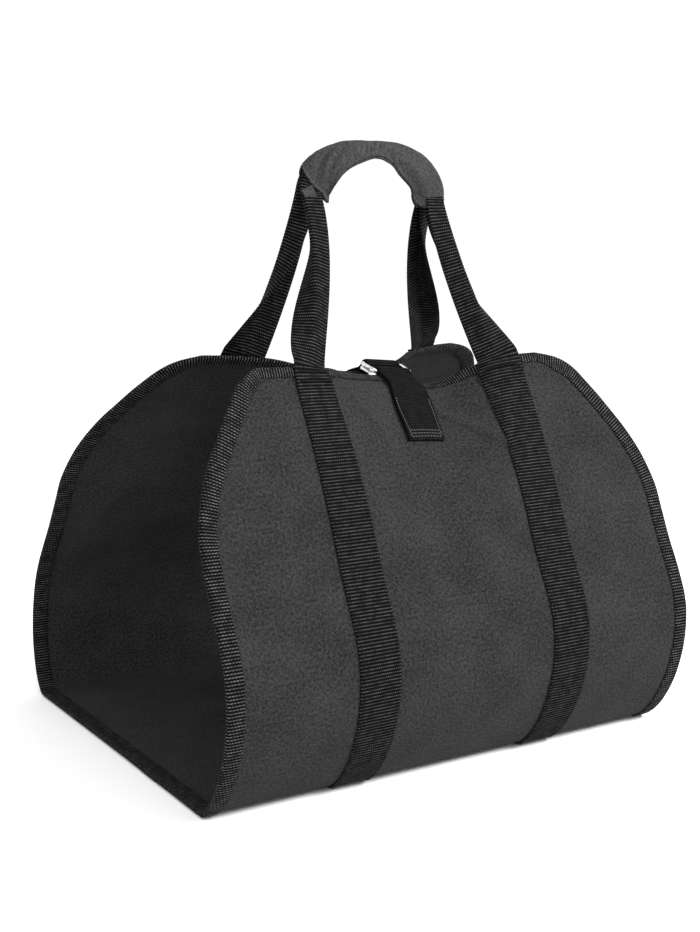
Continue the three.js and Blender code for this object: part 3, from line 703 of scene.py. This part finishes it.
# The grip's line and frame
def grip_frame(share):
    """The arch's point, and its directions along, across and through the wrap. It runs on straight."""
    share = np.asarray(share, float)
    inside = np.clip(share, 0, 1)
    angle = GRIP_ANGLES[0] + inside * (GRIP_ANGLES[1] - GRIP_ANGLES[0])
    zero = np.zeros(share.shape)
    x = -GRIP_HALF_SPAN * np.cos(angle)
    z = GRIP_BASE_HEIGHT + GRIP_RISE * np.sin(angle)
    centre = np.stack([x, zero + GRIP_OFFSET + CENTRE_SHIFT, z], -1)
    along = unit(np.stack([GRIP_HALF_SPAN * np.sin(angle), zero, GRIP_RISE * np.cos(angle)], -1))
    centre = centre + along * ((share - inside) * GRIP_LENGTH)[..., None]
    outward = np.stack([-along[..., 2], zero, along[..., 0]], -1)
    turn = np.radians(read_table(GRIP_TURNS, inside))
    a = outward * np.sin(turn)[..., None]
    a[..., 1] += np.cos(turn)
    return centre, along, a, np.cross(a, along)


def strap_in_grip(share, side):
    """A folded strap's middle in the grip, and its directions across, out of its face and along."""
    centre, along, a, b = grip_frame(share)
    return centre + a * WEBBING_ACROSS + b * side * WEBBING_STACK, b * side, -a * side, along


# The webbing, with its mesh closest at its edges and along its middle, where it folds
ACROSS_WEBBING = WEBBING_WIDTH * np.array(
    [-0.5, -0.485, -0.42, -0.33, -0.24, -0.15, -0.1, -0.05, 0, 0.05, 0.1, 0.15, 0.24, 0.33, 0.42, 0.485, 0.5]
)
PANEL_ROWS = 200
LEG_ROWS = 60
GRIP_ROWS = 70
WEBBING_SOFTENING = 6
# Where a free stretch's rows start and end, in shares of it, and the half step of its direction
LEG_SHARES = (0.02, 0.98)
LEG_STEP = 0.01
# Share of a panel that stays free beside the bottom middle, where the two loops meet
PANEL_START = 0.0003


def folded_row(centre, across, normal, fold, inside):
    """One row of webbing, folded in half lengthwise by an angle about its middle."""
    bend = FOLD_BEND_LENGTH / 2
    turned = np.clip(ACROSS_WEBBING, -bend, bend)
    beyond = ACROSS_WEBBING - turned
    angle = turned * fold / FOLD_BEND_LENGTH
    radius = FOLD_BEND_LENGTH / max(fold, 1e-3)
    x = radius * np.sin(angle) + beyond * np.cos(angle)
    drop = radius * (1 - np.cos(angle)) + beyond * np.sin(angle)
    return centre + across * x[:, None] - normal * (inside * drop)[:, None]


def turned_frame(along, turn):
    """A strap's normal and its direction across, turned about its line from facing the front."""
    straight = unit(np.array([0, -1, 0]) + along * along[1])
    sideways = np.cross(along, straight)
    normal = straight * math.cos(turn) + sideways * math.sin(turn)
    return normal, np.cross(along, normal)


def turn_of(along, normal):
    straight, sideways = turned_frame(along, 0.0)
    return math.atan2(normal @ sideways, normal @ straight)


def leg_rows(side, hand):
    """The webbing's free stretch between a panel and the grip."""
    _, _, up, outward = (v[()] for v in sheet_frame(hand * WEBBING_X, float(side)))
    start = off_sheet(hand * WEBBING_X, float(side), WEBBING_LIFT_AT_EDGE, EDGE_STRAIGHT)
    end, _, grip_normal, along = strap_in_grip(0.0 if hand < 0 else 1.0, side)
    chord = end - start
    reach = np.linalg.norm(chord)
    high = along * -hand
    high[0] += LEG_SPLAY * chord[0] / reach
    high[1] += LEG_LEAN * chord[1] / reach
    high = unit(high) * LEG_PULL_HIGH * reach
    low = up * LEG_PULL_LOW * reach

    def at(q):
        point = start * (2 * q**3 - 3 * q * q + 1) + low * (q**3 - 2 * q * q + q)
        return point + end * (3 * q * q - 2 * q**3) + high * (q**3 - q * q)

    panel_turn = turn_of(up * -hand, outward * -side)
    grip_turn = turn_of(along, grip_normal)
    rows = []
    for q in np.linspace(*LEG_SHARES, LEG_ROWS):
        ahead = unit(at(q + LEG_STEP) - at(q - LEG_STEP)) * -hand
        normal, across = turned_frame(ahead, panel_turn + (grip_turn - panel_turn) * q**LEG_TURN_POWER)
        rows.append(folded_row(at(q), across, normal, FOLD_ANGLE * q, -side))
    return np.stack(rows)


def panel_rows(side, hand):
    """The webbing's stretch up a panel, from the bottom middle to the top edge."""
    share = np.linspace(PANEL_START, 1, PANEL_ROWS)
    climb = [1 - below / LENGTH[side] for below in WEBBING_CLIMB]
    lift = WEBBING_LIFT + (WEBBING_LIFT_AT_EDGE - WEBBING_LIFT) * smooth_step(*climb, share)
    u = hand * (WEBBING_X - ACROSS_WEBBING)
    return off_sheet(u[None, :], side * share[:, None], np.broadcast_to(lift[:, None], (PANEL_ROWS, len(u))))


def grip_rows(side):
    rows = []
    for share in np.linspace(0, 1, GRIP_ROWS):
        centre, across, normal, _ = strap_in_grip(share, side)
        rows.append(folded_row(centre, across, normal, FOLD_ANGLE, -side))
    return np.stack(rows)


def webbing_path(side):
    left = np.concatenate([panel_rows(side, LEFT), leg_rows(side, LEFT)])
    right = np.concatenate([panel_rows(side, RIGHT), leg_rows(side, RIGHT)])
    return soften(np.concatenate([left, grip_rows(side), right[::-1]]), WEBBING_SOFTENING)


def carrying_webbing(side, name, node):
    shape = (WEBBING_THICKNESS, WEBBING_RIB, WEBBING_RIB_DEPTH)
    piece = ribbon(name, webbing_path(side), *shape, WEBBING, "webbing")
    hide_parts(node)


# The closure
ACROSS_CLOSURE = CLOSURE_WIDTH * np.linspace(-0.5, 0.5, 13)
EYE_ROWS = 24
CLOSURE_SOFTENING = 3


def closure_u(side, across, reach):
    """Where a place across the strap lies on the sheet. Below the front's edge the strap slants a little."""
    skew = CLOSURE_SKEW if side == FRONT else 0.0
    return CLOSURE_CENTRE + across + skew * np.minimum(reach, 0)


def ring_axis():
    """The direction of the rings' bars, between those of the two top edges."""
    front = sheet_frame(CLOSURE_CENTRE, -1.0)[1]
    back = sheet_frame(CLOSURE_CENTRE, 1.0)[1]
    return unit(front + back)


def closure_frame(side, axis):
    """A strap's directions up and outward at the top edge, and the middle of the bar that it turns round."""
    point, _, up, _ = sheet_frame(CLOSURE_CENTRE, float(side))
    up = unit(up - axis * (up @ axis))
    normal = -side * np.cross(axis, up)
    eye_height = CANVAS_THICKNESS / 2 + EYE_CLEARANCE + CLOSURE_THICKNESS / 2 + LAYER_STEP / 2
    return up, normal, point + up * EYE_REACH + normal * eye_height


def closure_strap(side, upper_length, lower_length, name, node):
    """One closure strap: its upper layer on the panel, the turn round the rings, and its lower layer."""
    axis = ring_axis()
    up, normal, bar = closure_frame(side, axis)

    def layer(far, level):
        reach = np.append(np.linspace(-far, 0, int(far / CLOSURE_ROW)), EDGE_STRAIGHT)
        over = smooth_step(-CLOSURE_CLIMB[0], -CLOSURE_CLIMB[1], reach)
        lift = CLOSURE_LIFT + (CLOSURE_LIFT_AT_EDGE - CLOSURE_LIFT) * over + level
        t = side * (1 + np.minimum(reach, 0) / LENGTH[side])
        u = closure_u(side, ACROSS_CLOSURE, reach[:, None])
        lift, beyond = (np.broadcast_to(v[:, None], u.shape) for v in (lift, np.maximum(reach, 0)))
        return off_sheet(u, np.broadcast_to(t[:, None], u.shape), lift, beyond)

    around = [
        bar + EYE_RADIUS * (up * math.cos(a) + normal * math.sin(a)) + axis * ACROSS_CLOSURE[:, None]
        for a in np.linspace(EYE_TURN, -EYE_TURN, EYE_ROWS)
    ]
    path = np.concatenate([layer(upper_length, LAYER_STEP), np.stack(around), layer(lower_length, 0.0)[::-1]])
    shape = (CLOSURE_THICKNESS, CLOSURE_RIB, CLOSURE_RIB_DEPTH)
    piece = ribbon(name, soften(path, CLOSURE_SOFTENING), *shape, CLOSURE, "closure_webbing")
    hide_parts(node)


def closure_ring(level, name, node):
    """One rounded rectangle of wire round the turns of both closure straps."""
    axis = ring_axis()
    bars = [closure_frame(side, axis)[2] for side in (FRONT, BACK)]
    across = bars[1] - bars[0]
    across -= axis * (across @ axis)
    depth = np.linalg.norm(across)
    across = unit(across)
    up = np.cross(axis, across)
    centre = (bars[0] + bars[1]) / 2 + up * level
    half_long = CLOSURE_WIDTH / 2 + RING_SLACK + RING_WIRE / 2
    turns = np.linspace(0, 2 * np.pi, WIRE_SIDES + 1)[:-1, None]
    rings = []
    for quarter, (sign_x, sign_y) in enumerate(((1, 1), (-1, 1), (-1, -1), (1, -1))):
        to_corner = axis * sign_x * (half_long - RING_CORNER) + across * sign_y * (depth / 2 - RING_CORNER)
        for i in range(CORNER_STEPS + 1):
            angle = (quarter + i / CORNER_STEPS) * math.pi / 2
            out = axis * math.cos(angle) + across * math.sin(angle)
            middle = centre + to_corner + out * RING_CORNER
            rings.append(middle + RING_WIRE / 2 * (out * np.cos(turns) + up * np.sin(turns)))
    faces = grid_faces(len(rings), WIRE_SIDES, 0, closed_rows=True, closed_columns=True)[:, ::-1]
    piece = new_piece(name, np.concatenate(rings), faces.tolist(), METAL)
    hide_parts(node)


# The grip's wrap
WRAP_ROWS = 170
WRAP_COLUMNS = 121
WRAP_START, WRAP_END = -0.05, 1.072
FLAP_GAP = 0.0009
# Corner radii of the wrap's ends: at the flap's edge and at the outer side
LEFT_CORNERS = (0.001, 0.008)
RIGHT_CORNERS = (0.012, 0.012)
# How far the flap's edges drop below the middle at the crown
EDGE_DROP = 0.0055
# Creases on the wrap's front face: (from share, from across, to share, to across, height, width)
WRAP_CREASES = [
    (0.02, 0.004, 0.2, 0.007, 0.0014, 0.0022),
    (0.1, -0.009, 0.46, 0.004, 0.002, 0.0024),
    (0.06, -0.013, 0.36, -0.006, -0.0016, 0.0026),
    (0.02, -0.003, 0.3, 0.004, -0.0014, 0.0024),
    (0.3, 0.006, 0.52, 0.01, 0.0012, 0.003),
    (0.555, -0.02, 0.56, -0.0125, -0.0036, 0.0028),
    (0.59, -0.02, 0.6, -0.012, 0.0018, 0.0024),
    (0.62, -0.014, 0.74, -0.002, -0.001, 0.0035),
]
# Room for the straps between the flap and the outer side, and how much softer the wrap closes on them
WRAP_ROOM = 0.0025
CLOSING_EXTRA = 0.001
# Shares of the grip over which its ends round off, and over which the flap's edges drop and rise again
LEFT_ROUNDING, RIGHT_ROUNDING = (0.2, 0), (0.82, 1)
DROP_SHARES, RISE_SHARES = (0.2, 0.42), (0.86, 0.64)
# How far the slanting left end goes on past the start, and where the noise of the back face lies
SLANT_LIMIT = 1.3
BACK_NOISE_PLACE = 0.1
# The small tab at the left end, which shows the corner of the wrap's inner layer
TAB_SIZE = (0.0115, 0.0115)
TAB_CORNER = (-0.0065, -0.0045)
TAB_SLANT = math.radians(32)
TAB_LIFT = 0.0063
TAB_LEAN = 0.4


def corner(distance, radius):
    """How far a rounded corner draws the end back, at a distance from the side."""
    beyond = radius - np.clip(distance, 0, radius)
    return radius - np.sqrt(radius**2 - beyond**2)


def wrap_relief(share, across, behind, closing):
    """The wrap's creases and unevenness, which fade towards the flap's edges."""
    place = np.stack([share * GRIP_LENGTH, across], -1)
    scale = np.array([GRIP_LENGTH, 1])
    lift = np.zeros(share.shape)
    for from_share, from_across, to_share, to_across, height, width in WRAP_CREASES:
        start, end = scale * (from_share, from_across), scale * (to_share, to_across)
        lift += crease(place, start, end, height, width, fade=0.1)
    lift = np.where(behind, 0, lift)
    lift += uneven(share * GRIP_LENGTH, np.where(behind, BACK_NOISE_PLACE, 0) + across, WRAP_WAVES)
    return lift * smooth_step(0, 0.3, closing)


def wrap_surface(share, w):
    """The wrap's middle surface. w goes from one edge of the flap, round the straps, to the other edge."""
    flap = GRIP_FLAP * read_table(GRIP_FLAPS, np.clip(share, 0, 1))
    inner = FOLDED_HALF_WIDTH + WRAP_ROOM + flap
    straight = inner + WRAP_REACH - WRAP_HALF_HEIGHT
    half = straight + WRAP_HALF_HEIGHT * math.pi / 2
    behind = w < 0.5
    from_edge = half * (1 - np.abs(2 * w - 1))
    turn = np.clip((from_edge - straight) / WRAP_HALF_HEIGHT, 0, math.pi / 2)
    across = np.minimum(from_edge, straight) - inner + WRAP_HALF_HEIGHT * np.sin(turn)
    closing = smooth_step(0, 1, from_edge / (inner - FOLDED_HALF_WIDTH + CLOSING_EXTRA))
    drop = EDGE_DROP * smooth_step(*DROP_SHARES, share) * smooth_step(*RISE_SHARES, share) * (1 - closing)
    through = (FLAP_GAP + (WRAP_HALF_HEIGHT - FLAP_GAP) * closing) * np.cos(turn)
    through = np.where(behind, through, -through) + drop
    slant = np.clip(1 - share * GRIP_LENGTH / GRIP_CUT_REACH, 0, SLANT_LIMIT)
    cut_back = GRIP_LEFT_CUT * slant * (across + inner) / (inner + WRAP_REACH)
    ends = ((1, LEFT_ROUNDING, LEFT_CORNERS), (-1, RIGHT_ROUNDING, RIGHT_CORNERS))
    for way, reach, (at_flap, outer) in ends:
        rounding = corner(from_edge, at_flap) + corner(half - from_edge, outer)
        cut_back += way * smooth_step(*reach, share) * rounding
    centre, _, a, b = grip_frame(share + cut_back / GRIP_LENGTH)
    surface = centre + a * across[..., None] + b * through[..., None]
    return surface, wrap_relief(share, across, behind, closing), from_edge


def wrap_grid():
    """The wrap's middle surface with its creases, its normals, and each point's place on the cloth."""
    share = np.linspace(WRAP_START, WRAP_END, WRAP_ROWS)[:, None]
    w = np.linspace(0, 1, WRAP_COLUMNS)[None, :]
    share, w = np.broadcast_arrays(share, w)
    surface, lift, from_edge = wrap_surface(share, w)
    normals = band_normals(surface)
    outward = surface - surface.mean(1, keepdims=True)
    if (normals * outward).sum() < 0:
        normals = -normals
    return surface + normals * lift[..., None], normals, share, from_edge


def grip_wrap():
    surface, normals, share, from_edge = wrap_grid()
    half = WRAP_THICKNESS / 2
    cloth = np.stack([from_edge, share * GRIP_LENGTH], -1)
    top, bottom = surface + normals * half, surface - normals * half
    piece = slab("grip_wrap", top, bottom, cloth, GRIP_CANVAS)
    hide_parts("handle_grip")


def grip_tab():
    """The corner of the wrap's inner layer, which shows under its slanting left end."""
    centre, along, a, b = grip_frame(0.0)
    x = np.linspace(0, 1, 13)[None, :] * TAB_SIZE[0]
    y = np.linspace(0, 1, 14)[:, None] * TAB_SIZE[1]
    across = TAB_CORNER[0] + x * math.cos(TAB_SLANT) + y * math.sin(TAB_SLANT)
    ahead = TAB_CORNER[1] - x * math.sin(TAB_SLANT) + y * math.cos(TAB_SLANT)
    bow = TAB_LEAN * np.clip(-ahead, 0, None)
    point = centre + a * across[..., None] + along * ahead[..., None] - b * (TAB_LIFT + bow)[..., None]
    cloth = np.stack([across, ahead], -1)
    half = b * WRAP_THICKNESS / 2
    slab("grip_tab", point - half, point + half, cloth, GRIP_CANVAS)


canvas = canvas_sheet()
binding = edge_binding()
carrying_webbing(FRONT, "front_webbing", "webbing_front")
carrying_webbing(BACK, "back_webbing", "webbing_back")
closure_strap(FRONT, CLOSURE_LENGTH, CLOSURE_LENGTH, "front_closure", "closure_strap_front")
closure_strap(BACK, CLOSURE_TAIL, CLOSURE_LENGTH, "back_closure", "closure_strap_back")
closure_ring(-RING_STEP / 2, "lower_ring", "closure_ring_lower")
closure_ring(RING_STEP / 2, "upper_ring", "closure_ring_upper")
grip_wrap()
grip_tab()


# Sewing. Thread lies just proud of the cloth, most on the binding and in the bold rows, and the long seams
# keep a distance from the straps' edges.
THREAD_LIFT = 0.0001
HIGH_THREAD_LIFT = 0.0002
WEBBING_INSET = 0.0026
CLOSURE_INSET = 0.0025
# The bold rows below each top edge: the first one's distance, their spacing, how far each one bows, and half
# of each one's length as a share of the webbing's width
BAR_START, BAR_SPACING, BAR_BOW = 0.002, 0.0042, 0.0016
BAR_HALF_SHARE = 0.44
# The long webbing seams: the share of a panel where they start, and the share left free below the binding
WEBBING_SEAM_START, WEBBING_SEAM_MARGIN = 0.005, 0.01
# Rows across the end of the front closure strap, and where its long seams stop below the top edge
CLOSURE_END_ROWS = (0.0025, 0.0055, 0.0085)
CLOSURE_SEAM_TOP = 0.024
# How many rows of the wrap's mesh lie outside its end seams
GRIP_SEAM_ROW = 3


def seam(u, t, lift):
    """A stitch line over the sheet at a height off it."""
    u, t, lift = np.broadcast_arrays(np.asarray(u, float), np.asarray(t, float), np.asarray(lift, float))
    outward = sheet_frame(u, t)[3]
    return off_sheet(u, t, lift), outward * np.sign(lift)[..., None]


def bar_rows(side, hand):
    """Three bold rows across a strap, just under the top edge."""
    lines = []
    across = np.linspace(-BAR_HALF_SHARE, BAR_HALF_SHARE, 30)
    top = WEBBING_LIFT_AT_EDGE + WEBBING_THICKNESS / 2 + HIGH_THREAD_LIFT
    for row in range(3):
        below = BAR_START + BAR_SPACING * row + BAR_BOW * (1 - (2 * across) ** 2)
        u = hand * WEBBING_X + across * WEBBING_WIDTH
        lines.append(seam(u, side * (1 - below / LENGTH[side]), top))
    return lines


def binding_seams():
    path = binding_band()
    normals = band_normals(path, closed=True)
    lift = BINDING_THICKNESS / 2 + HIGH_THREAD_LIFT
    lines = []
    for column in (1, path.shape[1] - 2):
        line = path[:, column] + normals[:, column] * lift
        lines.append((line, normals[:, column]))
    stitches("binding_stitches", lines, THREAD, "binding", pitch=0.0032, length=0.0025)


def closure_seams():
    lines = []
    top = CLOSURE_LIFT + LAYER_STEP + CLOSURE_THICKNESS / 2 + THREAD_LIFT
    half = CLOSURE_WIDTH / 2 - CLOSURE_INSET
    across = np.linspace(-half, half, 24)
    for above_end in CLOSURE_END_ROWS:
        reach = above_end - CLOSURE_LENGTH
        lines.append(seam(closure_u(FRONT, across, reach), -(1 + reach / LENGTH[FRONT]), top))
    for hand in (LEFT, RIGHT):
        reach = -np.linspace(CLOSURE_LENGTH - CLOSURE_END_ROWS[0], CLOSURE_SEAM_TOP, 40)
        lines.append(seam(closure_u(FRONT, hand * half, reach), -(1 + reach / LENGTH[FRONT]), top))
    stitches("closure_stitches", lines, GREY_THREAD, "closure_webbing", pitch=0.003, length=0.0023)


def grip_seams():
    surface, normals, _, _ = wrap_grid()
    lift = WRAP_THICKNESS / 2 + THREAD_LIFT
    inside = slice(GRIP_SEAM_ROW, -GRIP_SEAM_ROW)
    lines = []
    for row in (GRIP_SEAM_ROW, WRAP_ROWS - 1 - GRIP_SEAM_ROW):
        line = surface[row, inside] + normals[row, inside] * lift
        lines.append((line, normals[row, inside]))
    sizes = {"pitch": 0.003, "length": 0.0023, "thread": 0.00026}
    stitches("grip_stitches", lines, GREY_THREAD, "grip_canvas", **sizes)


def webbing_seams():
    lines = []
    top = WEBBING_LIFT + WEBBING_THICKNESS / 2 + THREAD_LIFT
    for side in (FRONT, BACK):
        last = 1 - BINDING_WIDTH / LENGTH[side] - WEBBING_SEAM_MARGIN
        share = np.linspace(WEBBING_SEAM_START, last, 160)
        for hand in (LEFT, RIGHT):
            for edge in (-1, 1):
                u = hand * WEBBING_X + edge * (WEBBING_WIDTH / 2 - WEBBING_INSET)
                lines.append(seam(u, side * share, top))
    bars = [line for side in (FRONT, BACK) for hand in (LEFT, RIGHT) for line in bar_rows(side, hand)]
    stitches("webbing_bars", bars, THREAD, "webbing", pitch=0.0021, length=0.002, thread=0.0009)
    stitches("webbing_stitches", lines, THREAD, "webbing")


webbing_seams()
binding_seams()
closure_seams()
grip_seams()


def cut_area():
    """The sheet's flat area, with its four corners cut away."""
    t = np.linspace(-1, 1, 401)
    middle = (t[1:] + t[:-1]) / 2
    width = half_width_at(middle, LEFT) + half_width_at(middle, RIGHT)
    return float((width * length_at(middle) * (t[1] - t[0])).sum())


cut_area()


# Stage, light and camera
FLOOR_HALF = 6.0
FLOOR_TONE = 0.99
WORLD_STRENGTH = 1.03
CAMERA_PLACE = Vector((-0.6928, -1.1253, 0.4537))
CAMERA_TARGET = Vector((-0.0017, -0.0105, 0.236))
CAMERA_LENS = 56.2


def aim(place, target):
    return (target - place).to_track_quat("-Z", "Y").to_euler()


def stage():
    mesh = bpy.data.meshes.new("floor")
    corners = [(x * FLOOR_HALF, y * FLOOR_HALF, 0) for x, y in ((-1, -1), (1, -1), (1, 1), (-1, 1))]
    mesh.from_pydata(corners, [], [(0, 1, 2, 3)])
    floor = bpy.data.objects.new("floor", mesh)
    bpy.context.scene.collection.objects.link(floor)
    look = Look("pale_floor", Base_Color=grey(FLOOR_TONE), Roughness=0.9, Specular_IOR_Level=0.1)
    mesh.materials.append(look.material)
    world = bpy.data.worlds.new("studio")
    world.use_nodes = True
    background = world.node_tree.nodes["Background"]
    background.inputs[0].default_value = grey(1)
    background.inputs[1].default_value = WORLD_STRENGTH
    bpy.context.scene.world = world


def area_light(name, place, target, size, power):
    data = bpy.data.lights.new(name, "AREA")
    data.size = size
    data.energy = power
    lamp = bpy.data.objects.new(name, data)
    lamp.location = place
    lamp.rotation_euler = aim(Vector(place), Vector(target))
    bpy.context.scene.collection.objects.link(lamp)


def camera():
    data = bpy.data.cameras.new("camera")
    data.lens = CAMERA_LENS
    data.sensor_width = 36
    eye = bpy.data.objects.new("camera", data)
    eye.location = CAMERA_PLACE
    eye.rotation_euler = aim(CAMERA_PLACE, CAMERA_TARGET)
    bpy.context.scene.collection.objects.link(eye)
    bpy.context.scene.camera = eye


stage()
area_light("key", (1.1, -1.7, 1.7), (0, 0, 0.25), 0.9, 95)
area_light("fill", (-1.2, -1.8, 2.0), (0, 0, 0.25), 1.6, 35)
camera()
bpy.context.scene.view_settings.view_transform = "Standard"
